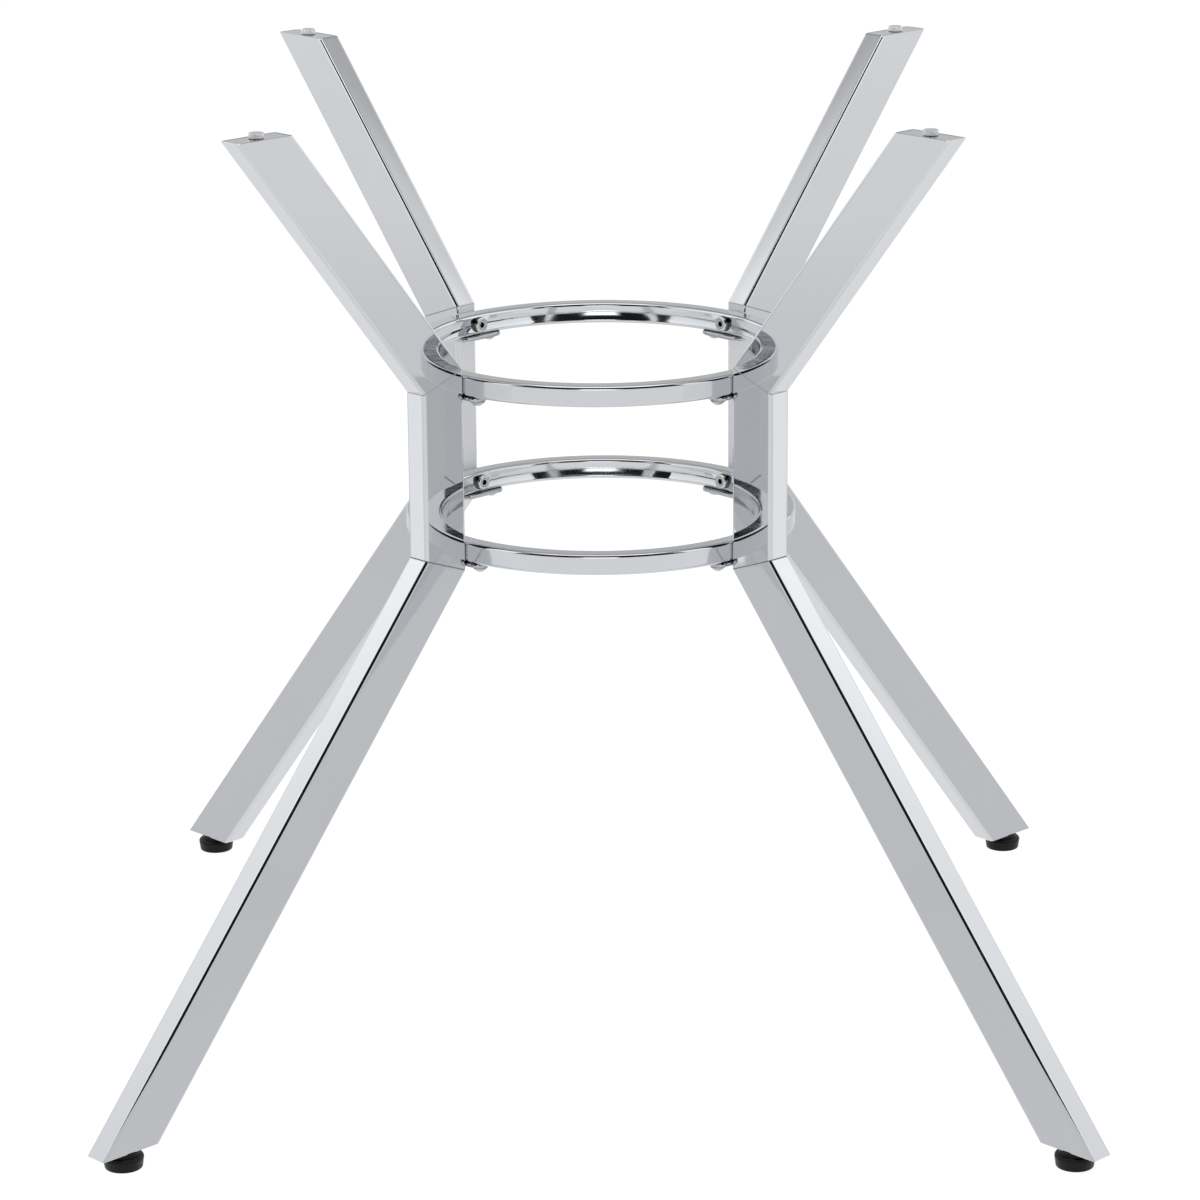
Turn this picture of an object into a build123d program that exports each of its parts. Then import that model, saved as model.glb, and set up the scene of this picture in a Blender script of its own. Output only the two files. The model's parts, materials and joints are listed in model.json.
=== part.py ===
from build123d import *
from math import atan2, copysign, cos, degrees, radians, sin, sqrt, tan
import os

# Round glass table base: four chromed tube legs, each mitre-welded from an arm, a post and a lower leg,
# bolted round two rolled hoops. Millimetres, +Z up, origin on the floor below the middle of the hoops.

# Legs: the quarter in which each one stands, as the signs of its X and Y
quarters = {
    "front_left": (-1, -1),
    "front_right": (1, -1),
    "rear_left": (-1, 1),
    "rear_right": (1, 1),
}

# Leg tube, its width lying in the leg's plane
tube_width = 40.0
tube_thickness = 20.0
tube_wall = 1.5
tube_corner = 2.5

# Heights of the level cuts at both ends and of the two bends, on the tube's centre line
arm_top_height = 736.0
upper_bend_height = 533.0
lower_bend_height = 391.5
leg_cut_height = 13.0
arm_splay = 39.0
leg_splay = 40.0
heel_radius = 4.0

# Plates that close the tube ends, inside the walls
plate_thickness = 3.0
plate_gap = 0.1

# Hoops, rolled from square tube and set in from the bends
hoop_radius = 151.0
hoop_height = 16.0
hoop_depth = 16.0
hoop_wall = 1.5
hoop_corner = 2.5
hoop_to_bend = 6.5

# Tabs welded to the posts, on which the hoops rest
tab_length = 44.0
tab_width = 20.0
tab_thickness = 3.0
tab_corner = 8.0
tab_screw_offset = 15.5

# Radial bolts through the hoops, with nuts welded inside the posts
bolt_diameter = 6.0
bolt_head_diameter = 12.0
bolt_head_height = 3.6
bolt_rim_height = 0.8
bolt_face_diameter = 6.4
bolt_dome_radius = 5.0
bolt_socket = 4.0
bolt_socket_depth = 2.2
nut_across_flats = 10.0
nut_thickness = 5.0
bolt_past_nut = 3.0

# Tapping screws from below, through the tabs into the hoops
screw_diameter = 5.0
screw_length = 10.0
screw_head_diameter = 11.4
screw_head_height = 4.6
screw_rim_height = 1.4
screw_slot_length = 6.0
screw_slot_width = 1.1
screw_slot_depth = 2.0

# Glides under the legs, each on a threaded stud in a nut welded to the bottom plate
foot_diameter = 30.0
foot_base_diameter = 28.0
foot_top_diameter = 23.5
foot_shoulder_drop = 4.0
foot_edge_radius = 2.5
stud_diameter = 8.0
stud_sunk = 7.0
stud_past_nut = 3.0
foot_nut_across_flats = 13.0
foot_nut_thickness = 6.5

# Clear bumpers on the arm tops
bumper_diameter = 11.4
bumper_height = 4.0
bumper_edge_radius = 0.8

# Play between a thread and its nut, and between a fastener and a drilled hole, on the diameter
thread_play = 0.1
hole_play = 0.6

# Each leg's compass angle and the side of it on which its hoop screws sit, then places worked out from the sizes
up = Vector(0, 0, 1)
legs = {}
for leg, (x_side, y_side) in quarters.items():
    legs[leg] = (degrees(atan2(y_side, x_side)), copysign(1, x_side * y_side))
post_radius = hoop_radius + tube_width / 2
hoop_inner_radius = hoop_radius - hoop_depth
hoop_middle_radius = hoop_radius - hoop_depth / 2
hoop_levels = {
    "upper": upper_bend_height - hoop_to_bend,
    "lower": lower_bend_height + hoop_to_bend,
}
bumper_radius = post_radius + (arm_top_height - upper_bend_height) * tan(radians(arm_splay))
foot_radius = post_radius + (lower_bend_height - leg_cut_height) * tan(radians(leg_splay))
screw_reach = sqrt(hoop_middle_radius**2 - tab_screw_offset**2)
screw_inset = hoop_radius - screw_reach
bolt_seat_radius = sqrt(hoop_inner_radius**2 - (bolt_head_diameter / 2) ** 2)
bolt_length = hoop_radius - bolt_seat_radius + tube_wall + nut_thickness + bolt_past_nut
stud_length = stud_sunk + plate_thickness + foot_nut_thickness + stud_past_nut
bore_thickness = tube_thickness - 2 * tube_wall
bore_width = tube_width - 2 * tube_wall
bore_corner = tube_corner - tube_wall

os.makedirs("parts", exist_ok=True)


def outward(angle):
    """Unit vector that points from the middle of the base along a leg's plane."""
    return Vector(cos(radians(angle)), sin(radians(angle)), 0)


def leg_point(angle, radius, height, across=0.0):
    """Point in a leg's plane, or to one side of it by the distance across."""
    return outward(angle) * radius + outward(angle + 90) * across + up * height


def tube_plane(angle, radius, height, lean, rise=up):
    """Plane square to a tube that leans outwards from straight up, or from straight down where rise is -up."""
    along = outward(angle) * sin(radians(lean)) + rise * cos(radians(lean))
    return Plane(leg_point(angle, radius, height), x_dir=outward(angle + 90), z_dir=along)


def draw_tube_section():
    """Section of the leg tube: a rounded rectangle less its bore."""
    RectangleRounded(tube_thickness, tube_width, tube_corner)
    RectangleRounded(bore_thickness, bore_width, bore_corner, mode=Mode.SUBTRACT)


def save(piece, name):
    """Labels one piece and writes its file."""
    piece.part.label = name
    export_step(piece.part, f"parts/{name}.step")


# Stock lengths, with enough at each end for the saw cuts
arm_stock = (arm_top_height - upper_bend_height) / cos(radians(arm_splay)) + tube_width
lower_stock = (lower_bend_height - leg_cut_height) / cos(radians(leg_splay)) + tube_width
post_stock = upper_bend_height - lower_bend_height + 2 * tube_width

# Heel of the lower leg, where its under face meets the level cut at a blunt angle
heel_corner = Vector(foot_radius - tube_width / 2 / cos(radians(leg_splay)), leg_cut_height)
heel_run = heel_radius / tan(radians(90 + leg_splay) / 2)
heel_on_cut = heel_corner + Vector(heel_run, 0)
heel_on_face = heel_corner + Vector(-sin(radians(leg_splay)), cos(radians(leg_splay))) * heel_run

for leg, (angle, screw_side) in legs.items():
    arm_plane = tube_plane(angle, post_radius, upper_bend_height, arm_splay)
    lower_plane = tube_plane(angle, post_radius, lower_bend_height, leg_splay, rise=-up)
    upper_mitre = tube_plane(angle, post_radius, upper_bend_height, arm_splay / 2)
    lower_mitre = tube_plane(angle, post_radius, lower_bend_height, leg_splay / 2, rise=-up)
    arm_cut = Plane.XY.offset(arm_top_height)
    leg_cut = Plane.XY.offset(leg_cut_height)
    side_plane = Plane((0, 0, 0), x_dir=outward(angle), z_dir=outward(angle - 90))

    with BuildPart() as arm:
        with BuildSketch(arm_plane):
            draw_tube_section()
        extrude(amount=arm_stock, both=True)
        split(bisect_by=upper_mitre, keep=Keep.TOP)
        split(bisect_by=arm_cut, keep=Keep.BOTTOM)
    save(arm, f"{leg}_arm")

    with BuildPart() as post:
        with BuildSketch(tube_plane(angle, post_radius, lower_bend_height - tube_width, 0)):
            draw_tube_section()
        extrude(amount=post_stock)
        split(bisect_by=upper_mitre, keep=Keep.BOTTOM)
        split(bisect_by=lower_mitre, keep=Keep.BOTTOM)
        for level in hoop_levels.values():
            with Locations(Plane(leg_point(angle, hoop_radius, level), z_dir=outward(angle + 180))):
                Hole((bolt_diameter + hole_play) / 2, depth=tube_width / 2)
    save(post, f"{leg}_post")

    with BuildPart() as lower_leg:
        with BuildSketch(lower_plane):
            draw_tube_section()
        extrude(amount=lower_stock, both=True)
        split(bisect_by=lower_mitre, keep=Keep.TOP)
        split(bisect_by=leg_cut, keep=Keep.TOP)
        with BuildSketch(side_plane):
            with BuildLine():
                TangentArc(heel_on_cut, heel_on_face, tangent=(-1, 0))
                Polyline(heel_on_face, heel_corner, heel_on_cut)
            make_face()
        extrude(amount=tube_thickness, both=True, mode=Mode.SUBTRACT)
    save(lower_leg, f"{leg}_lower_leg")

    with BuildPart() as top_plate:
        with BuildSketch(arm_plane):
            RectangleRounded(bore_thickness - 2 * plate_gap, bore_width - 2 * plate_gap, bore_corner)
        extrude(amount=arm_stock)
        split(bisect_by=arm_cut, keep=Keep.BOTTOM)
        split(bisect_by=arm_cut.offset(-plate_thickness), keep=Keep.TOP)
    save(top_plate, f"{leg}_top_plate")

    with BuildPart() as bottom_plate:
        with BuildSketch(lower_plane):
            RectangleRounded(bore_thickness - 2 * plate_gap, bore_width - 2 * plate_gap, bore_corner)
        extrude(amount=lower_stock)
        split(bisect_by=leg_cut, keep=Keep.TOP)
        split(bisect_by=leg_cut.offset(plate_thickness), keep=Keep.BOTTOM)
        with Locations(leg_point(angle, foot_radius, leg_cut_height + plate_thickness)):
            Hole((stud_diameter + hole_play) / 2)
    save(bottom_plate, f"{leg}_bottom_plate")

    for hoop, level in hoop_levels.items():
        tab_top = level - hoop_height / 2
        with BuildPart() as tab:
            tab_plane = Plane(
                leg_point(angle, hoop_radius, tab_top), x_dir=outward(angle + 90), z_dir=(0, 0, 1)
            )
            with BuildSketch(tab_plane):
                with Locations((0, tab_width / 2)):
                    RectangleRounded(tab_length, tab_width, tab_corner)
                with Locations((screw_side * tab_screw_offset, screw_inset)):
                    Circle((screw_diameter + hole_play) / 2, mode=Mode.SUBTRACT)
            extrude(amount=-tab_thickness)
        save(tab, f"{leg}_{hoop}_tab")

    with BuildPart() as foot:
        with BuildSketch(side_plane):
            with Locations((foot_radius, 0)):
                Polygon(
                    (0, 0),
                    (foot_base_diameter / 2, 0),
                    (foot_diameter / 2, leg_cut_height - foot_shoulder_drop),
                    (foot_top_diameter / 2, leg_cut_height),
                    (0, leg_cut_height),
                    align=None,
                )
        revolve(axis=Axis(leg_point(angle, foot_radius, 0), (0, 0, 1)))
        fillet(foot.edges().group_by(Axis.Z)[0], foot_edge_radius)
        with Locations(leg_point(angle, foot_radius, leg_cut_height)):
            Hole(stud_diameter / 2, depth=stud_sunk)
    save(foot, f"{leg}_foot")

    with BuildPart() as bumper:
        with Locations(leg_point(angle, bumper_radius, arm_top_height)):
            Cylinder(bumper_diameter / 2, bumper_height, align=(Align.CENTER, Align.CENTER, Align.MIN))
        fillet(bumper.edges().group_by(Axis.Z)[-1], bumper_edge_radius)
    save(bumper, f"{leg}_bumper")

# Fasteners, each drawn once with its seat at the origin and its shank along +Z
with BuildPart() as bolt:
    with BuildSketch(Plane.XZ):
        with BuildLine():
            RadiusArc(
                (bolt_face_diameter / 2, -bolt_head_height),
                (bolt_head_diameter / 2, -bolt_rim_height),
                bolt_dome_radius,
            )
            Polyline(
                (bolt_head_diameter / 2, -bolt_rim_height),
                (bolt_head_diameter / 2, 0),
                (bolt_diameter / 2, 0),
                (bolt_diameter / 2, bolt_length),
                (0, bolt_length),
                (0, -bolt_head_height),
                (bolt_face_diameter / 2, -bolt_head_height),
            )
        make_face()
    revolve(axis=Axis.Z)
    with BuildSketch(Plane.XY.offset(-bolt_head_height)):
        RegularPolygon(bolt_socket / 2, 6, major_radius=False)
    extrude(amount=bolt_socket_depth, mode=Mode.SUBTRACT)

with BuildPart() as screw:
    with BuildSketch(Plane.XZ):
        with BuildLine():
            TangentArc(
                (0, -screw_head_height),
                (screw_head_diameter / 2, -screw_rim_height),
                tangent=(1, 0),
            )
            Polyline(
                (screw_head_diameter / 2, -screw_rim_height),
                (screw_head_diameter / 2, 0),
                (screw_diameter / 2, 0),
                (screw_diameter / 2, screw_length),
                (0, screw_length),
                (0, -screw_head_height),
            )
        make_face()
    revolve(axis=Axis.Z)
    with BuildSketch(Plane.XY.offset(-screw_head_height)):
        Rectangle(screw_slot_length, screw_slot_width)
        Rectangle(screw_slot_width, screw_slot_length)
    extrude(amount=screw_slot_depth, mode=Mode.SUBTRACT)

with BuildPart() as bolt_nut:
    with BuildSketch(Plane.XY):
        RegularPolygon(nut_across_flats / 2, 6, major_radius=False)
        Circle((bolt_diameter + thread_play) / 2, mode=Mode.SUBTRACT)
    extrude(amount=nut_thickness)

with BuildPart() as foot_nut:
    with BuildSketch(Plane.XY):
        RegularPolygon(foot_nut_across_flats / 2, 6, major_radius=False)
        Circle((stud_diameter + thread_play) / 2, mode=Mode.SUBTRACT)
    extrude(amount=foot_nut_thickness)


def save_group(fastener, planes, name):
    """Sets one fastener on each plane and writes them as one node of separate solids."""
    with BuildPart() as group:
        with Locations(*planes):
            add(fastener.part)
    save(group, name)


for hoop, level in hoop_levels.items():
    hoop_underside = level - hoop_height / 2
    screw_points = [
        leg_point(angle, screw_reach, hoop_underside, side * tab_screw_offset)
        for angle, side in legs.values()
    ]
    angles = [angle for angle, side in legs.values()]

    with BuildPart() as hoop_tube:
        with BuildSketch(Plane.XZ):
            with Locations((hoop_middle_radius, level)):
                RectangleRounded(hoop_depth, hoop_height, hoop_corner)
                Rectangle(hoop_depth - 2 * hoop_wall, hoop_height - 2 * hoop_wall, mode=Mode.SUBTRACT)
        revolve(axis=Axis.Z)
        with Locations(*[Plane(leg_point(angle, hoop_radius, level), z_dir=outward(angle)) for angle in angles]):
            Hole((bolt_diameter + hole_play) / 2, depth=2 * hoop_depth)
        with Locations(*[Plane(point, z_dir=(0, 0, -1)) for point in screw_points]):
            Hole((screw_diameter + thread_play) / 2, depth=hoop_height / 2)
    save(hoop_tube, f"{hoop}_hoop")

    save_group(
        bolt,
        [Plane(leg_point(angle, bolt_seat_radius, level), z_dir=outward(angle)) for angle in angles],
        f"{hoop}_hoop_bolts",
    )
    save_group(
        bolt_nut,
        [Plane(leg_point(angle, hoop_radius + tube_wall, level), z_dir=outward(angle)) for angle in angles],
        f"{hoop}_post_nuts",
    )
    save_group(
        screw,
        [Plane(point - up * tab_thickness, z_dir=(0, 0, 1)) for point in screw_points],
        f"{hoop}_tab_screws",
    )

foot_nut_level = leg_cut_height + plate_thickness
save_group(
    foot_nut,
    [
        Plane(leg_point(angle, foot_radius, foot_nut_level), x_dir=outward(angle), z_dir=(0, 0, 1))
        for angle in angles
    ],
    "foot_nuts",
)

with BuildPart() as foot_studs:
    with Locations(*[leg_point(angle, foot_radius, leg_cut_height - stud_sunk) for angle in angles]):
        Cylinder(stud_diameter / 2, stud_length, align=(Align.CENTER, Align.CENTER, Align.MIN))
save(foot_studs, "foot_studs")
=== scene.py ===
# %% [markdown]
# # A chromed dining table base
# The base is four kinked legs of rectangular steel tube, bolted round two hoops of square tube, all
# chrome plated. The imported solids already stand at the right place, so the first step loads them as a
# fixed frame whose boxes can be read. An empty scene comes first, because Blender's own cube and lamp
# would otherwise count as pieces.

# %% Load the frame
import json
import math

import bpy
import numpy as np
from mathutils import Matrix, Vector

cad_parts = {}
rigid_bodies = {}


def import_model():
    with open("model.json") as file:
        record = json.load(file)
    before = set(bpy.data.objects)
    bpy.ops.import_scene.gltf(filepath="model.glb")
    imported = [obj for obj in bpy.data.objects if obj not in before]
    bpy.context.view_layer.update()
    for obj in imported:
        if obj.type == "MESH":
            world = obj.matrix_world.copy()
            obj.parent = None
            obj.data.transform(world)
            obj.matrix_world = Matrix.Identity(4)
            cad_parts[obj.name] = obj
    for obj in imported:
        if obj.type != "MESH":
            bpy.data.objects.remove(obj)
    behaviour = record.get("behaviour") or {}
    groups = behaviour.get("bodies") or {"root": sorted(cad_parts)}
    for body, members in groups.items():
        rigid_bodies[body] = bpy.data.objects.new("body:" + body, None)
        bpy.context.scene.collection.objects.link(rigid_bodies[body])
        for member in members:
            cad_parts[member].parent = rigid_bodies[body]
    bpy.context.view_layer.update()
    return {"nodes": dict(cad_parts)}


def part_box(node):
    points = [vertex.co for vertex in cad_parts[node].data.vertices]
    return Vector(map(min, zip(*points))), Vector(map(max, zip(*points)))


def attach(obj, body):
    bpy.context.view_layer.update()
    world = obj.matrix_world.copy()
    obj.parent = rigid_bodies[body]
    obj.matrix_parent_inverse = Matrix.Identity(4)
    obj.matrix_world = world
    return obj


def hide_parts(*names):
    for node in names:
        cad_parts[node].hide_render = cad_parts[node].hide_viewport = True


for leftover in list(bpy.data.objects):
    bpy.data.objects.remove(leftover)

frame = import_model()
scene = bpy.context.scene
scene.view_settings.view_transform = "Standard"

# %% [markdown]
# ## The camera
# The photograph was taken from the front and a little above, through a long lens, so the near and far
# legs differ only slightly in size. A camera could be aimed by a constraint, but a plain rotation is
# easier to read and to move: the pan, the downward pitch and a small roll are turned into the camera's
# three axes, and those are the columns of its matrix, with the place where it stands as the last one.

# %% Camera
mm = 0.001
photo_width, focal_pixels = 1200, 4336.44
stand = np.array([0.04728, -3.25482, 1.27736])
pan, pitch, roll = np.radians([0.8515, 16.2706, -0.4180])
forward = np.array([-np.sin(pan) * np.cos(pitch), np.cos(pan) * np.cos(pitch), -np.sin(pitch)])
level_right = np.array([np.cos(pan), np.sin(pan), 0.0])
level_up = np.cross(level_right, forward)
right = np.cos(roll) * level_right + np.sin(roll) * level_up
above = -np.sin(roll) * level_right + np.cos(roll) * level_up

lens = bpy.data.cameras.new("photo_camera")
lens.sensor_width = 36.0
lens.lens = lens.sensor_width * focal_pixels / photo_width
lens.clip_end = 50.0
camera = bpy.data.objects.new("photo_camera", lens)
columns = np.stack([right, above, -forward, stand], 1)
camera.matrix_world = Matrix(columns.tolist() + [[0, 0, 0, 1]])
scene.collection.objects.link(camera)
scene.camera = camera
print("camera lens in mm:", round(lens.lens, 1))

# %% [markdown]
# ## Node helpers
# A material is a graph, and graphs are tedious to spell out link by link. One helper makes a node, sets
# its properties and plugs its inputs: a plain value is written on the socket, an output socket is linked
# to it. The others are the few nodes that this script uses most, each wrapped so that it returns its
# result.

# %% Node helpers
def node(tree, kind, settings=None, **inputs):
    """A new node. Inputs are named as their sockets, with underscores for spaces, or in0, in1 and so on."""
    made = tree.nodes.new(kind)
    for key, value in (settings or {}).items():
        setattr(made, key, value)
    for key, value in inputs.items():
        numbered = key[:2] == "in" and key[2:].isdigit()
        socket = made.inputs[int(key[2:]) if numbered else key.replace("_", " ")]
        if isinstance(value, bpy.types.NodeSocket):
            tree.links.new(value, socket)
        else:
            socket.default_value = value
    return made


def maths(tree, operation, *values):
    """The result of one arithmetic node."""
    inputs = {f"in{i}": value for i, value in enumerate(values)}
    return node(tree, "ShaderNodeMath", {"operation": operation}, **inputs).outputs[0]


def ease(tree, value, low, high):
    """0 while the value is below low, 1 above high, and a smooth rise between them."""
    return node(tree, "ShaderNodeMapRange", {"interpolation_type": "SMOOTHSTEP"}, Value=value,
                From_Min=low, From_Max=high).outputs[0]


def mix(tree, share, first, second):
    """The first colour at share 0, the second at share 1."""
    return node(tree, "ShaderNodeMix", {"data_type": "RGBA"}, in0=share, in6=first, in7=second).outputs[2]


def grey(bright):
    """A neutral colour of this brightness."""
    return (bright, bright, bright, 1)


def tones(tree, value, stops):
    """A grey that follows the value through (place, brightness) stops, smoothly. Places run from 0 to 1."""
    ramp = node(tree, "ShaderNodeValToRGB", Fac=value)
    ramp.color_ramp.interpolation = "EASE"
    for i, (place, bright) in enumerate(stops):
        stop = ramp.color_ramp.elements[i] if i < 2 else ramp.color_ramp.elements.new(place)
        stop.position, stop.color = place, grey(bright)
    return ramp.outputs["Color"]


print("node helpers:", [helper.__name__ for helper in (node, maths, ease, mix, grey, tones)])

# %% [markdown]
# ## The room
# Chrome has no colour of its own: what shows on it is the room. The base was lit in a white tent, so the
# stage here is one as well, with a darker room behind the camera, which gives the thin black lines along
# the rounded edges, and a bright window in that room, which the hoops' far walls show as a white patch. A
# picture of a studio wrapped round the scene would do too, but a few smooth steps on the direction are
# easier to tune. The camera itself sees plain white.

# %% World
window_tone, dark_tone = grey(2.3), (0.015, 0.015, 0.017, 1)
world = bpy.data.worlds.new("white_room")
scene.world = world
world.use_nodes = True
tree = world.node_tree
tree.nodes.clear()
toward = node(tree, "ShaderNodeTexCoord").outputs["Generated"]
direction = node(tree, "ShaderNodeSeparateXYZ", Vector=toward).outputs
height = node(tree, "ShaderNodeMapRange", Value=direction["Z"], From_Min=-1.0, From_Max=1.0).outputs[0]
room = tones(tree, height, [(0.0, 0.9), (1.0, 0.7), (0.48, 0.85), (0.60, 0.62), (0.68, 0.55), (0.76, 0.35),
                            (0.9, 0.5)])
behind_camera = ease(tree, maths(tree, "MULTIPLY", direction["Y"], -1.0), 0.30, 0.50)
above_floor = ease(tree, direction["Z"], 0.00, 0.06)
beside_window = ease(tree, maths(tree, "ABSOLUTE", direction["X"]), 0.13, 0.24)
above_window = ease(tree, direction["Z"], 0.16, 0.28)
beyond_window = maths(tree, "MAXIMUM", beside_window, above_window)
in_window = maths(tree, "MULTIPLY", behind_camera, maths(tree, "SUBTRACT", 1.0, beyond_window))
in_dark = maths(tree, "MULTIPLY", maths(tree, "MULTIPLY", behind_camera, above_floor), beyond_window)
mirrored = mix(tree, in_dark, mix(tree, in_window, room, window_tone), dark_tone)
path = node(tree, "ShaderNodeLightPath").outputs
plain = maths(tree, "MAXIMUM", path["Is Camera Ray"], path["Is Transmission Ray"])
backdrop = node(tree, "ShaderNodeBackground", Color=mix(tree, plain, mirrored, grey(1.0)), Strength=1.0)
node(tree, "ShaderNodeOutputWorld", Surface=backdrop.outputs[0])
print("world nodes:", len(tree.nodes))

# %% [markdown]
# ## Sheets and cards
# Round the base stand flat sheets that glow by themselves and show only in the metal, not to the camera.
# The world alone would make all faces that look the same way equally bright, and on the real base they
# aren't, because the tent is near. Area lamps would do as well, but a sheet can have its own gradient, so
# one helper makes the sheet and another its glow.

# %% Sheet helpers
def sheet(name, corner, along, up, material, shows=False):
    """A flat stage sheet: corner + u*along + v*up for u and v from 0 to 1."""
    corner, along, up = map(np.array, (corner, along, up))
    points = np.stack([corner, corner + along, corner + along + up, corner + up])
    mesh = bpy.data.meshes.new(name)
    mesh.from_pydata(points.tolist(), [], [(0, 1, 2, 3)])
    mesh.materials.append(material)
    made = bpy.data.objects.new(name, mesh)
    scene.collection.objects.link(made)
    made.visible_camera = shows
    made.visible_transmission = shows
    made.visible_shadow = shows
    return made


def glow(name, build):
    """An emission material whose brightness is the colour that build(tree, object coordinates) returns."""
    made = bpy.data.materials.new(name)
    made.use_nodes = True
    tree = made.node_tree
    tree.nodes.clear()
    spot = node(tree, "ShaderNodeTexCoord").outputs["Object"]
    place = node(tree, "ShaderNodeSeparateXYZ", Vector=spot).outputs
    light = node(tree, "ShaderNodeEmission", Color=build(tree, place)).outputs[0]
    node(tree, "ShaderNodeOutputMaterial", Surface=light)
    return made


print("sheet helpers:", sheet.__name__, glow.__name__)

# %% [markdown]
# ## Where they stand
# Two tall sheets are the tent's sides, brightest at the height of their lamps, and a lamp hangs overhead.
# The low cards before the sides give the lower legs and the posts their greys, and the one in front of
# the feet makes the black edge lines fade near the floor. One wall with a painted pattern could do all
# this, but separate cards are easier to shift.

# %% Sheets and cards
side_reach, side_height = 1.42, 2.6
side_start, side_length = -1.25, 3.25


def side_tones(tree, place):
    """White, brightest at the lamps' height, grey towards the top."""
    share = maths(tree, "DIVIDE", place["Z"], side_height)
    return tones(tree, share, [(0.0, 0.96), (1.0, 0.55), (0.05, 0.92), (0.08, 0.88), (0.15, 0.98),
                               (0.35, 1.16), (0.55, 1.40), (0.70, 1.28), (0.80, 0.92), (0.92, 0.62)])


side_glow = glow("side_sheet", side_tones)
card_grey = glow("grey_card", lambda tree, place: (0.63, 0.635, 0.64, 1))
card_pale = glow("pale_card", lambda tree, place: (0.79, 0.79, 0.8, 1))
card_white = glow("white_card", lambda tree, place: grey(1.18))
lamp_glow = glow("lamp", lambda tree, place: grey(1.7))
for name, hand in (("left_sheet", -1), ("right_sheet", 1)):
    sheet(name, (hand * side_reach, side_start, 0), (0, side_length, 0), (0, 0, side_height), side_glow)
for hand in (-1, 1):
    sheet(f"front_card_{hand}", (hand * 1.27, -0.31, 0), (0, 0.16, 0), (0, 0, 0.21), card_grey)
    sheet(f"white_card_{hand}", (hand * 1.28, -0.15, 0), (0, 0.27, 0), (0, 0, 0.26), card_white)
    sheet(f"rear_card_{hand}", (hand * 1.29, 0.12, 0), (0, 0.6, 0), (0, 0, 0.13), card_pale)
low_card = sheet("low_card", (-0.9, -0.42, 0), (1.8, 0, 0), (0, 0, 0.10), card_pale)
low_card.visible_diffuse = False
sheet("overhead_lamp", (-0.9, -1.0, 2.62), (1.8, 0, 0), (0, 1.3, 0), lamp_glow)

# %% [markdown]
# ## The floor
# The base stands on white paper. To the camera the paper is nearly white by itself, and a small diffuse
# share on top of that keeps the soft shadow under the feet. In the metal it is greyer where it is seen at
# a slant, as paper under a tent is, and for all other light it is plain matt paper. Light Path tells
# these rays apart.

# %% Floor
paper = bpy.data.materials.new("floor_paper")
paper.use_nodes = True
tree = paper.node_tree
tree.nodes.clear()
slant = node(tree, "ShaderNodeLayerWeight", Blend=0.5).outputs["Facing"]
spot = node(tree, "ShaderNodeTexCoord").outputs["Object"]
place = node(tree, "ShaderNodeSeparateXYZ", Vector=spot).outputs
near_base = maths(tree, "MULTIPLY", slant, ease(tree, place["Y"], -0.9, -0.5))
mirrored = tones(tree, near_base, [(0.0, 0.90), (1.0, 0.66), (0.40, 0.90), (0.68, 0.67)])
path = node(tree, "ShaderNodeLightPath").outputs
white = maths(tree, "MAXIMUM", path["Is Camera Ray"], path["Is Transmission Ray"])
lit = node(tree, "ShaderNodeEmission", Color=mix(tree, white, mirrored, grey(0.94))).outputs[0]
shadowed = node(tree, "ShaderNodeBsdfDiffuse", Color=grey(0.16)).outputs[0]
direct = node(tree, "ShaderNodeAddShader", in0=lit, in1=shadowed).outputs[0]
matte = node(tree, "ShaderNodeBsdfDiffuse", Color=grey(0.8)).outputs[0]
shown = maths(tree, "MAXIMUM", white, path["Is Glossy Ray"])
surface = node(tree, "ShaderNodeMixShader", Fac=shown, in1=matte, in2=direct).outputs[0]
node(tree, "ShaderNodeOutputMaterial", Surface=surface)
sheet("floor", (-6, -6, 0), (12, 0, 0), (0, 12, 0), paper, shows=True)
print("floor nodes:", len(tree.nodes))

# %% [markdown]
# ## Chrome
# Bright chrome over polished tube is nearly a mirror, but never quite: the plating carries a faint ripple
# from the polishing wheel and a slight haze where hands have been. Both are noise on the piece's own
# coordinates, kept in one group, so that every chromed piece gets the same hand. The chrome turns dark in
# the fine groove of a weld seam, and the same darkening is painted shade on the tabs' rims. It stays dull
# where the wheel couldn't reach, and there its colour is painted lighter, as painted reflected light. Both
# come from attributes that the pieces' meshes carry.

# %% Polish group
def effect_group(name, **sockets):
    """An empty shader group with the named inputs, which puts out a Color, a Roughness and a Height."""
    made = bpy.data.node_groups.new(name, "ShaderNodeTree")
    for socket, kind in sockets.items():
        made.interface.new_socket(socket, in_out="INPUT", socket_type=f"NodeSocket{kind}")
    for socket, kind in (("Color", "Color"), ("Roughness", "Float"), ("Height", "Float")):
        made.interface.new_socket(socket, in_out="OUTPUT", socket_type=f"NodeSocket{kind}")
    return made


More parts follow.
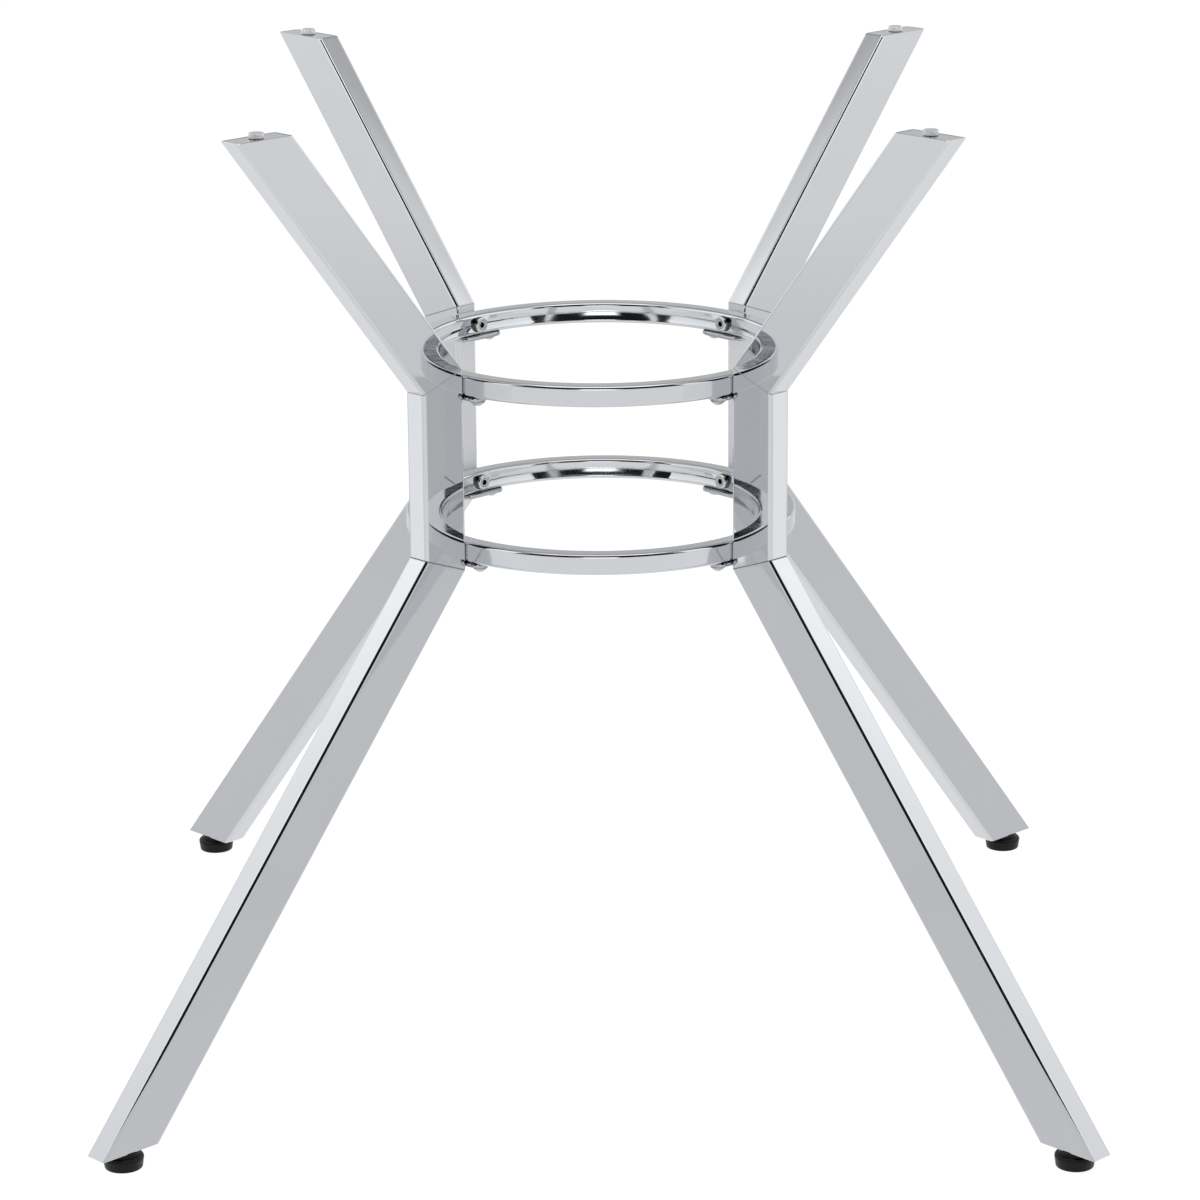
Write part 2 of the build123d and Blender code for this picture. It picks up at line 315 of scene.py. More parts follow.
clear_tone, cloudy_tone = (0.616, 0.632, 0.654, 1), (0.602, 0.618, 0.640, 1)
painted_light_tone, groove_and_shade_tone = (0.755, 0.765, 0.78, 1), (0.10, 0.10, 0.105, 1)
polish = effect_group("polish", Haze="Float", Ripple="Float")
given = node(polish, "NodeGroupInput").outputs
spot = node(polish, "ShaderNodeTexCoord").outputs["Object"]
seam_and_shade = node(polish, "ShaderNodeAttribute", {"attribute_name": "seam_and_shade"}).outputs["Fac"]
dull_and_painted_light = node(polish, "ShaderNodeAttribute", {"attribute_name": "dull_and_painted_light"}).outputs["Fac"]
clouds = node(polish, "ShaderNodeTexNoise", Vector=spot, Scale=14.0, Detail=4.0, Roughness=0.6).outputs["Fac"]
waves = node(polish, "ShaderNodeTexNoise", Vector=spot, Scale=60.0, Detail=1.0).outputs["Fac"]
haze = maths(polish, "MULTIPLY", maths(polish, "SUBTRACT", clouds, 0.35), given["Haze"])
worn = maths(polish, "ADD", maths(polish, "MULTIPLY", seam_and_shade, 0.3), maths(polish, "MULTIPLY", dull_and_painted_light, 0.42))
rough = maths(polish, "ADD", maths(polish, "MAXIMUM", haze, 0.0), worn)
shade = mix(polish, clouds, clear_tone, cloudy_tone)
# Painted light: where the dull mark is, the colour is lifted lighter, standing in for reflected light.
shade = mix(polish, dull_and_painted_light, shade, painted_light_tone)
# The seam mark darkens weld grooves, which are real dark joints, and on the tabs' rims it is painted shade.
shade = mix(polish, maths(polish, "MULTIPLY", seam_and_shade, 0.75), shade, groove_and_shade_tone)
node(polish, "NodeGroupOutput", Color=shade, Roughness=maths(polish, "ADD", rough, 0.02),
     Height=maths(polish, "MULTIPLY", waves, given["Ripple"]))
print("polish group nodes:", len(polish.nodes))

# %% [markdown]
# ## Two chromes
# A finish is one Principled shader, fed by a group. The tubes and tabs are flat and buffed bright. The
# hoops were rolled before they were plated, which left them wavier and hazier, so the same group serves
# them with larger values. A second group would do, but then the two platings could drift apart.

# %% Chrome
def make_finish(name, group, settings, values):
    """A Principled material fed by the group, with plain values on its other sockets."""
    made = bpy.data.materials.new(name)
    made.use_nodes = True
    tree = made.node_tree
    shader = tree.nodes["Principled BSDF"]
    for socket, value in values.items():
        shader.inputs[socket].default_value = value
    feed = node(tree, "ShaderNodeGroup", {"node_tree": group}, **settings).outputs
    tree.links.new(feed["Color"], shader.inputs["Base Color"])
    tree.links.new(feed["Roughness"], shader.inputs["Roughness"])
    bump = node(tree, "ShaderNodeBump", Strength=1.0, Distance=0.001, Height=feed["Height"])
    tree.links.new(bump.outputs["Normal"], shader.inputs["Normal"])
    return made


metal = {"Metallic": 1.0}
chrome = make_finish("chrome", polish, {"Haze": 0.05, "Ripple": 0.012}, metal)
rolled_chrome = make_finish("rolled_chrome", polish, {"Haze": 0.48, "Ripple": 0.15}, metal)
print("chromes:", chrome.name, rolled_chrome.name)

# %% [markdown]
# ## Steel, plastic and the clear bumpers
# The bolts and screws are zinc-plated steel, greyer and softer than the chrome, and the nuts and studs
# are plain steel. The glides are moulded black plastic with a satin grain, and the bumpers are pale soft
# plastic with a slight bloom. One mottled grain serves them all, fine over broad, with its own colours,
# size and depth for each. Where the mesh carries the seam and shade mark it is painted dark: painted shade
# in sockets and recesses, and a painted shadow line under a head.

# %% Grain group
painted_shade_tone = (0.02, 0.02, 0.022, 1)
grain = effect_group("grain", Light="Color", Dark="Color", Size="Float", Smooth="Float", Rough="Float",
                     Depth="Float")
given = node(grain, "NodeGroupInput").outputs
spot = node(grain, "ShaderNodeTexCoord").outputs["Object"]
fine = node(grain, "ShaderNodeTexNoise", Vector=spot, Scale=given["Size"], Detail=3.0,
            Roughness=0.6).outputs["Fac"]
broad_size = maths(grain, "MULTIPLY", given["Size"], 0.12)
broad = node(grain, "ShaderNodeTexNoise", Vector=spot, Scale=broad_size, Detail=2.0).outputs["Fac"]
both = maths(grain, "MULTIPLY", maths(grain, "ADD", fine, broad), 0.5)
seam_and_shade = node(grain, "ShaderNodeAttribute", {"attribute_name": "seam_and_shade"}).outputs["Fac"]
mottled = mix(grain, both, given["Dark"], given["Light"])
# Painted shade: the seam mark darkens toward black in sockets, recesses, on heads' sides, under heads and on
# the bumpers.
shaded = mix(grain, maths(grain, "MULTIPLY", seam_and_shade, 0.92), mottled, painted_shade_tone)
rough = node(grain, "ShaderNodeMix", {"data_type": "FLOAT"}, in0=both, in2=given["Smooth"],
             in3=given["Rough"]).outputs[0]
node(grain, "NodeGroupOutput", Color=shaded, Roughness=rough,
     Height=maths(grain, "MULTIPLY", fine, given["Depth"]))
print("grain group nodes:", len(grain.nodes))

# %% [markdown]
# ## Four finishes from one grain
# Zinc plating is fine and nearly even, and plain steel is browner and rougher. Moulded plastic takes a
# satin from its mould, and the bumpers have a soft haze. A group for each would do, but only the numbers
# differ, so each finish is one call. The bumpers also let a little light through, which is the shader's
# own Transmission.

# %% Steel and plastic
bolt_steel = make_finish("bolt_steel", grain,
                         {"Light": grey(0.66), "Dark": (0.50, 0.50, 0.505, 1), "Size": 900.0,
                          "Smooth": 0.14, "Rough": 0.26, "Depth": 0.006}, metal)
plain_steel = make_finish("plain_steel", grain,
                          {"Light": (0.50, 0.49, 0.47, 1), "Dark": (0.33, 0.33, 0.32, 1), "Size": 500.0,
                           "Smooth": 0.25, "Rough": 0.45, "Depth": 0.03}, metal)
black_plastic = make_finish("black_plastic", grain,
                            {"Light": (0.006, 0.006, 0.0065, 1), "Dark": grey(0.003), "Size": 2600.0,
                             "Smooth": 0.30, "Rough": 0.48, "Depth": 0.05},
                            {"IOR": 1.49, "Specular IOR Level": 0.20})
clear_bumper = make_finish("clear_bumper", grain,
                           {"Light": (0.98, 0.985, 0.99, 1), "Dark": (0.95, 0.955, 0.96, 1), "Size": 400.0,
                            "Smooth": 0.22, "Rough": 0.34, "Depth": 0.0},
                           {"IOR": 1.40, "Transmission Weight": 0.08})
print("finishes:", [made.name for made in (bolt_steel, plain_steel, black_plastic, clear_bumper)])

# %% [markdown]
# ## One way to make every surface
# Every new piece is a stack of rings: a closed outline of n points, repeated m times along a path. Four
# neighbouring points make one face, so the whole mesh is two index grids, with no loop over vertices. A
# ring can end in a flat cap, or the last ring can join the first, as on a hoop. The sign of the enclosed
# volume says whether the faces look outward.

# %% Skin helper
def stack_faces(rings, loop):
    """Faces of one stack of rings [m, n, 3]: quads between neighbours, and end caps unless it loops."""
    m, n = rings.shape[:2]
    i, j = np.meshgrid(np.arange(m if loop else m - 1), np.arange(n), indexing="ij")
    after, beside = (i + 1) % m, (j + 1) % n
    quads = np.stack([i * n + j, i * n + beside, after * n + beside, after * n + j], -1).reshape(-1, 4)
    points = rings.reshape(-1, 3) - rings.reshape(-1, 3).mean(0)
    a, b, c, d = (points[quads[:, k]] for k in range(4))
    volume = (a * np.cross(b, c)).sum() + (a * np.cross(c, d)).sum()
    caps = [] if loop else [np.arange(n)[::-1], np.arange((m - 1) * n, m * n)]
    volume += sum((points[cap[0]] * np.cross(points[cap], points[np.roll(cap, -1)])).sum() for cap in caps)
    faces = quads.tolist() + [cap.tolist() for cap in caps]
    return faces if volume > 0 else [face[::-1] for face in faces]


def skin(name, stacks, loop=False, finish=None, slot="chrome", node_name=None, seam_and_shade=0.0, dull_and_painted_light=0.0,
         crease=35.0):
    """A mesh of one stack of rings, or several equal ones, in metres, with its finish and the node it stands
    for. The slot is not used. The seam and shade mark is given ring by ring, the dull and painted light mark
    point by point round a ring."""
    stacks = [stacks] if isinstance(stacks, np.ndarray) else stacks
    m, n = stacks[0].shape[:2]
    faces = []
    for k, rings in enumerate(stacks):
        faces += [[corner + k * m * n for corner in face] for face in stack_faces(rings, loop)]
    mesh = bpy.data.meshes.new(name)
    mesh.from_pydata(np.concatenate([rings.reshape(-1, 3) for rings in stacks]).tolist(), [], faces)
    mesh.set_sharp_from_angle(angle=math.radians(crease))
    mesh.polygons.foreach_set("use_smooth", np.array([len(face) == 4 for face in faces]))
    # The seam mark darkens weld grooves and paints shade on tab rims, bolts, screws and bumpers; the dull
    # mark makes faces rougher and paints them lighter.
    for mark, value in (("seam_and_shade", np.reshape(seam_and_shade, (-1, 1))), ("dull_and_painted_light", np.reshape(dull_and_painted_light, (1, -1)))):
        spread = np.broadcast_to(np.float32(value), (m, n)).ravel()
        mesh.attributes.new(mark, "FLOAT", "POINT").data.foreach_set("value", np.tile(spread, len(stacks)))
    mesh.materials.append(finish)
    made = bpy.data.objects.new(name, mesh)
    scene.collection.objects.link(made)
    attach(made, "root")
    if node_name:
        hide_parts(node_name)
    return made


print("skin helpers:", stack_faces.__name__, skin.__name__)

# %% [markdown]
# ## The tube's outline
# The tubes, the tabs and the hoops all start from a rectangle with round corners. A Bevel would round it
# too, but then the flat sides would share their shading with the corners and act as bent mirrors. So a
# point just before and after each corner holds the flat side flat.

# %% Rounded outline
flat_lead = 0.2


def rounded_rectangle(wide, deep, radius, steps=8, extra=(), hollow=0.0):
    """Outline of [n, 2]: a quarter circle at each corner, a point flat_lead before and after it, extra points
    on both long sides at the given places, and the short sides sunk by hollow*(1 - (b/half)^2)."""
    turn = np.linspace(0, np.pi / 2, steps + 1)
    quarter = np.arange(4)[:, None] * np.pi / 2 + turn
    circle = np.stack([np.cos(quarter), np.sin(quarter)], -1) * radius
    tangent = np.stack([-np.sin(quarter), np.cos(quarter)], -1) * flat_lead
    round_off = np.concatenate([circle[:, :1] - tangent[:, :1], circle, circle[:, -1:] + tangent[:, -1:]], 1)
    corner = np.array([(1, 1), (-1, 1), (-1, -1), (1, -1)]) * np.array([wide / 2 - radius, deep / 2 - radius])
    outline = corner[:, None] + round_off
    places = np.sort(np.array(extra, float))
    top = np.stack([places[::-1], np.full(len(places), deep / 2)], -1)
    b = np.linspace(1, -1, 9)[1:-1] * (deep / 2 - radius) if hollow else np.zeros(0)
    short = np.stack([wide / 2 - hollow * (1 - (b / (deep / 2 - radius)) ** 2), b], -1)
    return np.concatenate([outline[0], top, outline[1], short * (-1, 1), outline[2], -top, outline[3],
                           short[::-1]])


print("rounded outline points:", len(rounded_rectangle(40, 20, 2.5)))

# %% [markdown]
# ## A length of tube
# Each leg is three lengths of 40 by 20 tube. A length is the rounded outline of the tube carried along
# its axis and cut at both ends by a plane, so each point of the outline travels until it meets that
# plane. Roll-formed tube is never quite flat, and here the narrow sides are a hair hollow, which moves
# their reflections. The ends get a narrow chamfer: where two lengths meet, the chamfers make the fine
# groove of the ground-off weld.

# %% Tube helpers
tube_wide, tube_deep, tube_wall, tube_corner = 40.0, 20.0, 1.5, 2.5
narrow_hollow = 0.08
end_chamfer = 0.35
side_places = np.linspace(-15, 15, 7)
places_shrink = 0.02
legs = {"front_left": (-1, -1), "front_right": (1, -1), "rear_left": (-1, 1), "rear_right": (1, 1)}


def on_leg(signs, points):
    """Turns points [.., 3] of (outward, across, up) in mm, on a leg's own axes, into the frame, in metres."""
    out = np.array([signs[0], signs[1], 0]) / np.sqrt(2)
    side = np.array([-out[1], out[0], 0])
    return (points[..., :1] * out + points[..., 1:2] * side + points[..., 2:] * np.array([0, 0, 1])) * mm


def cut(start, along, point, facing):
    """End rule for a flat cut: t at which start + a*normal + t*along lies on the line through point that
    faces that way."""
    start, along, point, facing = map(np.array, (start, along, point, facing))
    normal = np.array([along[1], -along[0]])
    return lambda a: ((point - start) @ facing - a * (normal @ facing)) / (along @ facing)


def tube(start, along, ends, groove=(0.0, 0.0)):
    """Rings of a hollow length: outline point (a, b) goes to start + a*normal + t*along, with t from its
    two end rules. The groove says how dark the weld at each end is."""
    start, along = np.array(start), np.array(along)
    normal = np.array([along[1], -along[0]])

    def ring(inset, end, back):
        outline = rounded_rectangle(tube_wide - 2 * inset, tube_deep - 2 * inset, tube_corner - inset,
                                    extra=side_places * (1 - places_shrink * inset), hollow=narrow_hollow)
        travel = ends[end](outline[:, 0]) + (back if end == 0 else -back)
        flat = start + outline[:, :1] * normal + travel[:, None] * along
        return np.stack([flat[:, 0], outline[:, 1], flat[:, 1]], -1)

    one_end = [(tube_wall, 0), (end_chamfer, 0), (0, end_chamfer), (0, 4 * end_chamfer)]
    rings = [ring(inset, 0, back) for inset, back in one_end]
    rings += [ring(inset, 1, back) for inset, back in one_end[::-1]]
    fade = np.array([1, 1, 0.25, 0])
    return np.stack(rings), np.concatenate([groove[0] * fade, groove[1] * fade[::-1]])


print("tube outline points:", len(rounded_rectangle(tube_wide, tube_deep, tube_corner, extra=side_places)))

# %% [markdown]
# ## The legs
# The arm, the post and the lower leg meet on mitres, planes that halve the angle between two lengths. The
# arm is cut level at the top. At the floor the inner edge of the level cut is rounded off, the heel, so
# there the outline meets an arc instead of the plane. The posts' sides that face the hoops are out of the
# polishing wheel's reach, so they stay dull, and their colour is painted lighter as painted reflected light.

# %% Leg shapes
arm_top, upper_bend, lower_bend, leg_cut = 736.0, 533.0, 391.5, 13.0
arm_splay, leg_splay = np.radians([39.0, 40.0])
heel_radius, side_margin = 4.0, 0.1
hoop_outer = 151.0
post_radius = hoop_outer + tube_wide / 2
upper_kink, lower_kink = (post_radius, upper_bend), (post_radius, lower_bend)
upright = (0.0, 1.0)
up_arm = (np.sin(arm_splay), np.cos(arm_splay))
down_leg = (np.sin(leg_splay), -np.cos(leg_splay))
upper_mitre = (np.sin(arm_splay / 2), np.cos(arm_splay / 2))
lower_mitre = (np.sin(leg_splay / 2), -np.cos(leg_splay / 2))
level_end = cut(lower_kink, down_leg, (0, leg_cut), upright)


def heel_end(a):
    """The level cut, and beside the inner face an arc of heel_radius that touches the cut and that face."""
    middle = tube_wide / 2 - heel_radius
    centre = cut(lower_kink, down_leg, (0, leg_cut + heel_radius), upright)(np.array(middle))
    arc = centre + np.sqrt(np.maximum(heel_radius ** 2 - (a - middle) ** 2, 0))
    return np.where(a > middle + heel_radius * np.sin(leg_splay), arc, level_end(a))


def facing_hoops():
    """1 for the points of the tube's outline on the narrow side that faces the hoops, 0 for the others."""
    outline = rounded_rectangle(tube_wide, tube_deep, tube_corner, extra=side_places, hollow=narrow_hollow)
    return np.float32(outline[:, 0] < -tube_wide / 2 + side_margin)


print("leg axes at radius", post_radius)

# %% [markdown]
# ## Twelve tubes
# All four legs are alike, so each length is worked out once, on the leg's own axes, and then turned to
# its corner. Copies that share one mesh would do too, but each tube stands for its own solid, so each is
# a piece of its own. The lower welds show darker than the upper ones.

# %% Leg tubes
upper_groove, lower_groove = 0.5, 1.0
arm_ends = (cut(upper_kink, up_arm, upper_kink, upper_mitre), cut(upper_kink, up_arm, (0, arm_top), upright))
post_ends = (cut(lower_kink, upright, lower_kink, lower_mitre),
             cut(lower_kink, upright, upper_kink, upper_mitre))
lower_ends = (cut(lower_kink, down_leg, lower_kink, lower_mitre), heel_end)
arm, arm_marks = tube(upper_kink, up_arm, arm_ends, (upper_groove, 0.0))
post, post_marks = tube(lower_kink, upright, post_ends, (lower_groove, upper_groove))
lower, lower_marks = tube(lower_kink, down_leg, lower_ends, (lower_groove, 0.0))
for leg, signs in legs.items():
    skin(f"{leg}_arm_tube", on_leg(signs, arm), loop=True, finish=chrome, node_name=f"{leg}_arm",
         seam_and_shade=arm_marks)
    skin(f"{leg}_post_tube", on_leg(signs, post), loop=True, finish=chrome, node_name=f"{leg}_post",
         seam_and_shade=post_marks, dull_and_painted_light=facing_hoops())
    skin(f"{leg}_lower_tube", on_leg(signs, lower), loop=True, finish=chrome, node_name=f"{leg}_lower_leg",
         seam_and_shade=lower_marks)

# %% [markdown]
# ## Plates on the arms
# A plate closes each arm, let in flush and ground over, so only a fine seam shows round it. It could be
# cut from a block, but it follows the slanted bore, so its outline comes from the same cut as the tube's,
# at three heights, with the top edge eased.

# %% Top plates
def arm_outline(inset, height):
    """The arm's outline, drawn in by the inset and cut level at the height: (outward, across, up)."""
    outline = rounded_rectangle(tube_wide - 2 * inset, tube_deep - 2 * inset, tube_corner - tube_wall)
    travel = cut(upper_kink, up_arm, (0, height), upright)(outline[:, 0])
    normal = np.array([up_arm[1], -up_arm[0]])
    flat = np.array(upper_kink) + outline[:, :1] * normal + travel[:, None] * np.array(up_arm)
    return np.stack([flat[:, 0], outline[:, 1], flat[:, 1]], -1)


plate_thick, plate_gap, plate_sink, plate_ease = 3.0, 0.15, 0.15, 0.35
seam_inset = tube_wall + plate_gap
plate = np.stack([arm_outline(seam_inset, arm_top - plate_thick),
                  arm_outline(seam_inset, arm_top - plate_sink - plate_ease),
                  arm_outline(seam_inset + plate_ease, arm_top - plate_sink)])
for leg, signs in legs.items():
    skin(f"{leg}_lid", on_leg(signs, plate), finish=chrome, node_name=f"{leg}_top_plate", seam_and_shade=[1, 1, 0])
print("plate rings:", plate.shape)

# %% [markdown]
# ## The hoops
# A hoop is square tube rolled into a ring, and the rolls leave their mark: the inner wall is drawn in and
# leans back a little, so its lower half looks slightly upward and catches the dark of the room. A torus
# wouldn't have that wall. The section is the rounded outline with it, carried round a circle: its first
# coordinate becomes the radius and its second the height.

# %% Hoops
hoop_tube, hoop_corner, hoop_dent, hoop_lean = 16.0, 2.5, 0.7, 1.6
hoop_inset = 6.5
hoop_levels = {"upper": upper_bend - hoop_inset, "lower": lower_bend + hoop_inset}


def hoop_section():
    """The rounded square, its inner side leaning by lean at the top and sunk by dent*(1 - (b/half)^2)."""
    half = hoop_tube / 2 - hoop_corner
    outline = rounded_rectangle(hoop_tube, hoop_tube, hoop_corner)
    middle = len(outline) // 2
    b = np.linspace(half, -half, 17)[1:-1]
    wall = -hoop_tube / 2 + hoop_lean * (b + half) / (2 * half) + hoop_dent * (1 - (b / half) ** 2)
    top_corner = outline[middle // 2:middle - 1] + [[hoop_lean, 0]]
    return np.concatenate([outline[:middle // 2], top_corner, np.stack([wall, b], -1), outline[middle + 1:]])


def hoop(height, steps=320):
    """Rings round a circle: angle u and section point (a, b) give radius middle + a, height + b."""
    section = hoop_section()
    u = np.linspace(0, 2 * np.pi, steps, endpoint=False)[:, None]
    radius = hoop_outer - hoop_tube / 2 + section[:, 0]
    return np.stack([radius * np.cos(u), radius * np.sin(u), height + section[:, 1] + 0 * u], -1) * mm


for name, height in hoop_levels.items():
    skin(f"{name}_hoop_tube", hoop(height), loop=True, finish=rolled_chrome, node_name=f"{name}_hoop")
print("hoop heights in mm:", hoop_levels)

# %% [markdown]
# ## The hoop bolts
# From inside each hoop a bolt with a low head and a hexagon socket goes into the post. The head is
# turned, so it is a profile spun round the bolt's axis; in the socket the circle gives way to a hexagon,
# whose radius at an angle is half the width across flats over the cosine of the angle from the nearest
# flat's middle. The socket could be cut by a Boolean, but as rings it stays clean. The head is drawn up
# against the hoop's leaning wall, so its seat lies a little outside the hoop's smallest radius.

# %% Hoop bolts
socket_half = 2.0
head_sink = 1.3
head_crease = 25.0
bolt_seat = hoop_outer - hoop_tube + head_sink
# radius, distance inward from the seat, 1 where the ring is a hexagon, how much painted shade it has
bolt_rings = np.array([(0.4, -21, 0, 0), (2.5, -21, 0, 0), (3.0, -20.4, 0, 0), (3.0, 0, 0, 1), (5.7, 0, 0, 1),
                       (6.0, 0.3, 0, 0.9), (6.0, 2.5, 0, 0.9), (6.0, 2.8, 0, 0), (5.85, 3.1, 0, 0),
                       (5.3, 3.5, 0, 0), (5.0, 3.6, 0, 0), (3.85, 3.6, 0, 0), (3.7, 3.45, 0, 0.9),
                       (3.35, 3.45, 0, 0.9), (3.2, 3.6, 0, 0), (2.75, 3.6, 0, 0),
                       (1.1 * socket_half, 3.45, 1, 0.5), (socket_half, 3.2, 1, 1), (socket_half, 1.2, 1, 1),
                       (0.3, 0.9, 0, 1)])


def bolt(signs, height, steps=72):
    """Rings round the bolt's axis, along the leg's outward line: angle v and ring (radius, inward)."""
    v = np.linspace(0, 2 * np.pi, steps, endpoint=False)
    flat = np.cos((v % (np.pi / 3)) - np.pi / 6)
    radius = bolt_rings[:, :1] * np.where(bolt_rings[:, 2:3] > 0, 1 / flat, 1.0)
    inward = np.broadcast_to(bolt_rings[:, 1:2], radius.shape)
    return on_leg(signs, np.stack([bolt_seat - inward, radius * np.cos(v), height + radius * np.sin(v)], -1))


for name, height in hoop_levels.items():
    heads = [bolt(signs, height) for signs in legs.values()]
    skin(f"{name}_bolts", heads, finish=bolt_steel, slot="bolt_steel", node_name=f"{name}_hoop_bolts",
         seam_and_shade=bolt_rings[:, 3], crease=head_crease)
print("bolt rings:", len(bolt_rings))

# %% [markdown]
# ## The tabs
# Under each hoop a small stamped tab is welded to the post. Stamping rounds the tab's edges and leaves
# its rim duller than the rest, and the rim is also painted darker, as painted shade under the hoop. A
# block with a Bevel would do, but the rounded outline at six depths says the same in one table.

# %% Tabs
tab_length, tab_width, tab_thick, tab_corner = 44.0, 20.0, 3.0, 8.0
# how far the outline is drawn in, depth below the hoop, how dull and how dark it is (painted shade)
tab_rings = np.array([(0.9, 0.0, 0.0), (0.3, 0.15, 0.3), (0.0, 0.7, 0.45), (0.0, 2.3, 0.45), (0.3, 2.85, 0.3),
                      (0.9, tab_thick, 0.0)])


def tab(signs, underside):
    """Rings of the rounded outline: its length runs across the leg, its width inward from the post."""
    outlines = np.stack([rounded_rectangle(tab_length - 2 * inset, tab_width - 2 * inset, tab_corner - inset)
                         for inset in tab_rings[:, 0]])
    outward = hoop_outer - tab_width / 2 + outlines[..., 1]
    depth = np.broadcast_to(tab_rings[:, 1:2], outlines.shape[:2])
    return on_leg(signs, np.stack([outward, outlines[..., 0], underside - depth], -1))


for name, height in hoop_levels.items():
    for leg, signs in legs.items():
        skin(f"{leg}_{name}_tongue", tab(signs, height - hoop_tube / 2), finish=chrome,
             node_name=f"{leg}_{name}_tab", seam_and_shade=tab_rings[:, 2])
print("tabs:", 2 * len(legs))

# %% [markdown]
# ## The tab screws
# A domed screw goes up through each tab into the hoop. It is turned like the bolt, and its cross recess
# is a plus: at an angle its radius is the longer of what the two bars reach there. A ring of that shape
# sinks into the dome and stops at its floor.

# %% Tab screws
screw_offset = 15.5
screw_reach = np.sqrt((hoop_outer - hoop_tube / 2) ** 2 - screw_offset ** 2)
slot_half, slot_reach = 0.6, 3.0
head_radius, rim_depth, dome_rise = 5.7, 1.3, 3.3
first_angle = 0.01


def dome(radius):
    """Depth of the head's dome below the tab: a parabola from the rim to the crown."""
    return rim_depth + dome_rise * (1 - (radius / head_radius) ** 2)


# radius or share of the plus, depth below the tab, 1 where the ring is a plus, how much painted shade it has
shank = [(0.4, -10, 0, 0), (2.5, -10, 0, 0), (2.5, 0, 0, 1)]
rim = [(5.4, 0, 0, 1), (head_radius, 0.3, 0, 0.6), (head_radius, 1.2, 0, 0.4)]
dome_radii = np.linspace(5.6, 3.7, 6)
dome_rings = np.stack([dome_radii, dome(dome_radii), 0 * dome_radii, 0 * dome_radii + 0.2], -1)
recess = [(1.06, 0, 1, 0.3), (1.0, 0, 1, 1), (0.9, 2.6, 1, 1), (0.1, 2.5, 0, 1)]
screw_rings = np.concatenate([shank, rim, dome_rings, recess])


def screw(signs, underside, steps=96):
    """Rings round an upright axis: angle v and ring (radius, depth). A ring of the plus with no depth of
    its own lies on the dome. The first angle isn't 0, because there a bar's reach would divide by zero."""
    v = np.linspace(0, 2 * np.pi, steps, endpoint=False) + first_angle
    c, s = np.abs(np.cos(v)), np.abs(np.sin(v))
    plus = np.maximum(np.minimum(slot_half / c, slot_reach / s), np.minimum(slot_half / s, slot_reach / c))
    crossed = screw_rings[:, 2:3] > 0
    radius = screw_rings[:, :1] * np.where(crossed, plus, 1.0)
    depth = np.where((screw_rings[:, 1:2] == 0) & crossed, dome(radius), screw_rings[:, 1:2])
    outward = screw_reach + radius * np.cos(v)
    across = screw_offset * signs[0] * signs[1] + radius * np.sin(v)
    return on_leg(signs, np.stack([outward, across, underside - tab_thick - depth], -1))


for name, height in hoop_levels.items():
    heads = [screw(signs, height - hoop_tube / 2) for signs in legs.values()]
    skin(f"{name}_screws", heads, finish=bolt_steel, slot="bolt_steel", node_name=f"{name}_tab_screws",
         seam_and_shade=screw_rings[:, 3], crease=head_crease)
print("screw rings:", len(screw_rings))

# %% [markdown]
# ## Glides and bumpers
# Both are turned shapes: a profile of radius and height, spun round an upright axis. A Screw modifier
# would spin them as well, but the arrays keep the marks ring by ring. The glide is moulded plastic with a
# rounded shoulder and a slightly smaller sole, and the bumper is a little pale button with a soft edge.

# %% Turned pieces
def turned(profile, centre, steps=72):
    """Rings of a lathe: profile points (radius, height) turned by the angle v about the upright at centre."""
    v = np.linspace(0, 2 * np.pi, steps, endpoint=False)
    circle = np.stack([np.cos(v), np.sin(v), 0 * v], -1)
    rise = profile[:, 1:, None] * np.array([0, 0, 1])
    return (np.array(centre) + profile[:, :1, None] * circle + rise) * mm


def bend(centre, radius, start, stop, steps=8):
    """Points of a rounded edge: centre + radius*(cos, sin) from one angle to another, in degrees."""
    turn = np.radians(np.linspace(start, stop, steps + 1))
    return np.stack([centre[0] + radius * np.cos(turn), centre[1] + radius * np.sin(turn)], -1)


def reach(box):
    """How far the middle of a box lies from the upright through the base's middle, in mm."""
    low, high = (np.array(corner[:2]) for corner in box)
    return np.hypot(*(low + high)) / 2 / mm


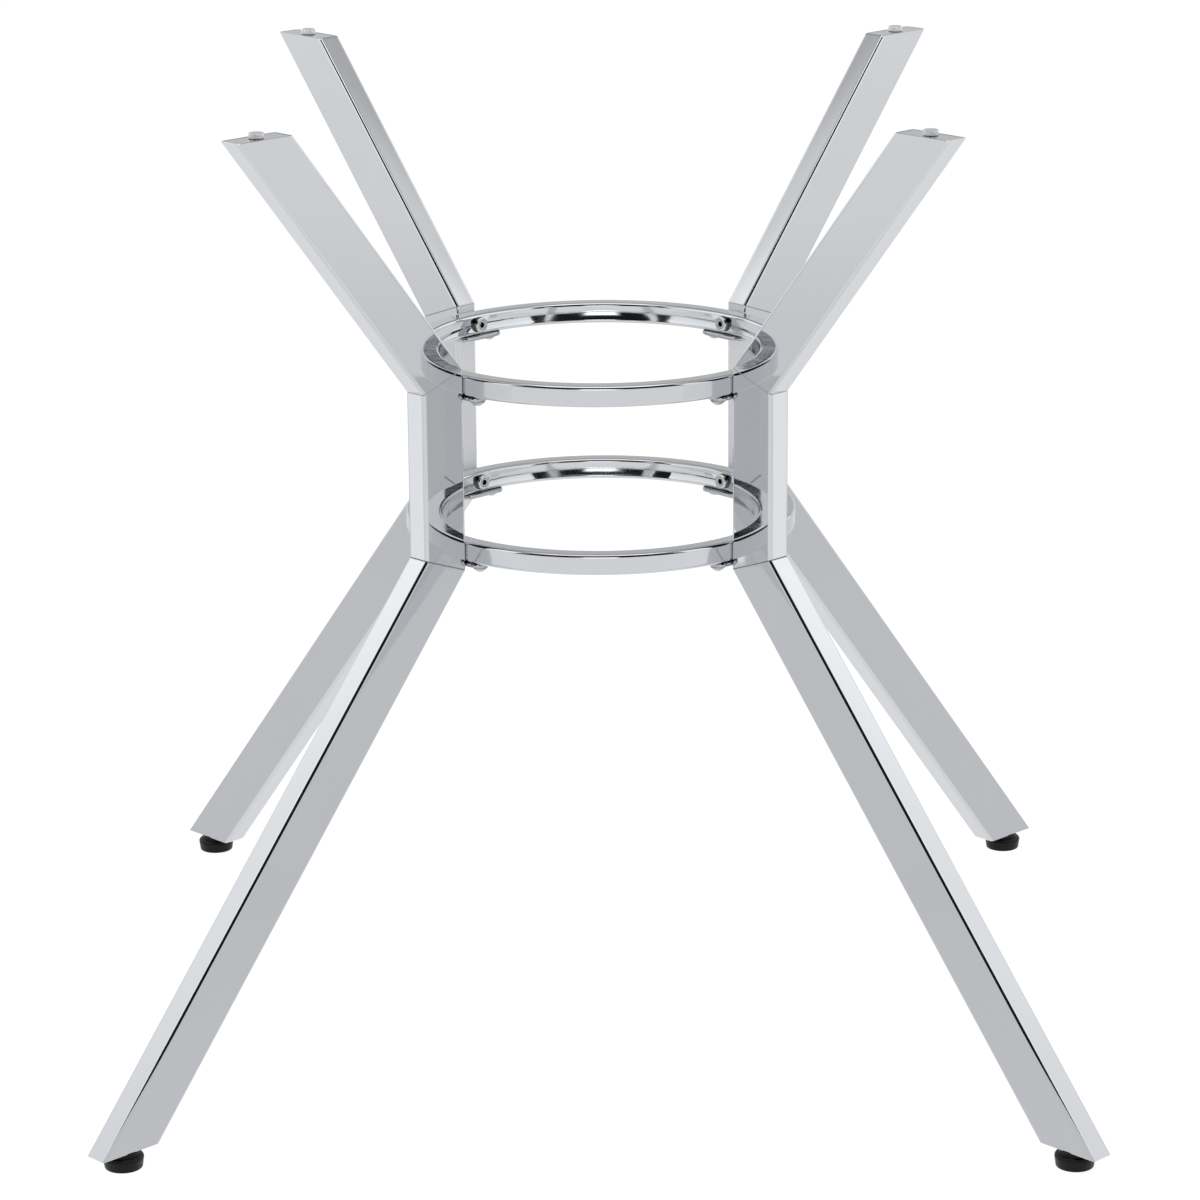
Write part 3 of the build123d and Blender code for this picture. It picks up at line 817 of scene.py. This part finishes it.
foot_radius = reach(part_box("front_left_foot"))
bumper_radius = reach(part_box("front_left_bumper"))
foot_profile = np.concatenate([[[1.0, 0.0], [12.4, 0.0]], bend((13.0, 1.0), 1.0, -90, -10, 5), [[14.9, 7.2]],
                               bend((12.5, 7.6), 2.5, 0, 80, 8),
                               [[11.9, 10.4], [11.75, 12.7], [11.45, 13.0], [1.0, 13.0]]])
bumper_profile = np.concatenate([[[0.3, 0.0], [5.5, 0.0]], bend((4.9, 0.8), 0.8, -60, 0, 4),
                                 bend((4.7, 3.0), 1.0, 0, 80, 6), [[3.0, 3.97], [0.3, 4.0]]])
print("glides at radius", round(foot_radius, 1), "bumpers at", round(bumper_radius, 1))

# %% [markdown]
# ## On the legs
# Each glide stands under its leg and each bumper on its arm, as far out as the solid that it stands for.
# That distance could be typed in, but read from the frame it follows the solids. A bumper has a painted
# shadow where it is glued on, and painted shade makes its matt top greyer than its side, so its marks
# follow the height.

# %% Glides and bumpers
# Painted shadow at the bumper's glued base, and painted shade on its top.
base_shadow_dark, base_shadow_height, base_shadow_fade = 0.45, 0.5, 0.3
top_shade_dark, top_shade_height, top_shade_fade = 0.40, 3.7, 0.25
bumper_height = bumper_profile[:, 1]
bumper_painted_shade = np.maximum(base_shadow_dark * np.clip((base_shadow_height - bumper_height) / base_shadow_fade, 0, 1),
                          top_shade_dark * np.clip((bumper_height - top_shade_height) / top_shade_fade, 0, 1))
for leg, signs in legs.items():
    out = np.array([*signs, 0]) / np.sqrt(2)
    skin(f"{leg}_glide", turned(foot_profile, out * foot_radius), finish=black_plastic, slot="black_plastic",
         node_name=f"{leg}_foot")
    skin(f"{leg}_button", turned(bumper_profile, out * bumper_radius + [0, 0, arm_top]), finish=clear_bumper,
         slot="clear_bumper", node_name=f"{leg}_bumper", seam_and_shade=bumper_painted_shade)
print("glide rings:", len(foot_profile), "bumper rings:", len(bumper_profile))

# %% [markdown]
# ## The solids that stay
# The bottom plates, nuts and studs are right as they come from the frame. They could be skinned again
# like the rest, but nobody sees more of them, so they only get their finish, by the material slot that
# the record names.

# %% Finishes on the solids
by_slot = {"chrome": chrome, "bolt_steel": bolt_steel, "plain_steel": plain_steel,
           "black_plastic": black_plastic, "clear_bumper": clear_bumper}
for solid in frame["nodes"].values():
    for holder in solid.material_slots:
        holder.material = by_slot[holder.material.name.split(".")[0]]
print("solids finished:", len(frame["nodes"]))
